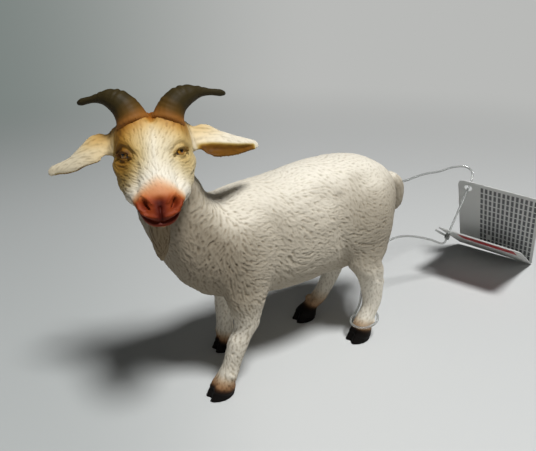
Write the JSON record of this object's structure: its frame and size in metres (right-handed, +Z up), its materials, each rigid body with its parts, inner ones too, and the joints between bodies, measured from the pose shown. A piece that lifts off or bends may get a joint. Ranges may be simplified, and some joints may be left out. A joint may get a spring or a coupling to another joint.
{
  "type": "goat figure",
  "caption": "Standing plastic goat figure with its head turned to its left, and a folded card hang tag on a filament loop that is hitched round a hind leg.",
  "frame": {"origin": "on the standing plane, below the middle of the goat's outline without the filament and the tag", "axes": "the goat faces -Y, its left side is towards +X, and +Z is up"},
  "size_m": [0.0437, 0.1839, 0.0906],
  "materials": {
    "fur": "hand-painted off-white with a grey wash in the moulded coat",
    "horn": "olive-brown satin paint, lighter brown at the root",
    "ear": "cream paint shaded with ochre",
    "beard": "grey-beige paint",
    "card": "thin coated card with plain printed bars and a red band",
    "filament": "clear extruded filament"
  },
  "bodies": {
    "goat": {"torso": "fur", "head": "fur", "left_horn": "horn", "right_horn": "horn", "left_ear": "ear", "right_ear": "ear", "beard": "beard", "tail": "fur", "left_foreleg": "fur", "right_foreleg": "fur", "left_hind_leg": "fur", "right_hind_leg": "fur", "tag_loop": "filament", "loop_knot": "filament"},
    "tag_back": {"tag_back_leaf": "card"},
    "tag_cover": {"tag_cover_leaf": "card"}
  },
  "joints": [
    {"name": "tag_swing", "type": "hinge", "parent": "goat", "child": "tag_back", "pos_m": [-0.01106, 0.09927, 0.03609], "axis": [0.2227, -0.6525, -0.7244], "range_deg": [0, 80], "deforming": ["tag_loop"]},
    {"name": "cover_fold", "type": "hinge", "parent": "tag_back", "child": "tag_cover", "pos_m": [-0.01045, 0.1236, 0.00115], "axis": [0.9259, 0.3741, -0.0523], "range_deg": [-22, 0], "stiffness_Nm_per_rad": 0.002, "deforming": ["tag_loop"]}
  ]
}
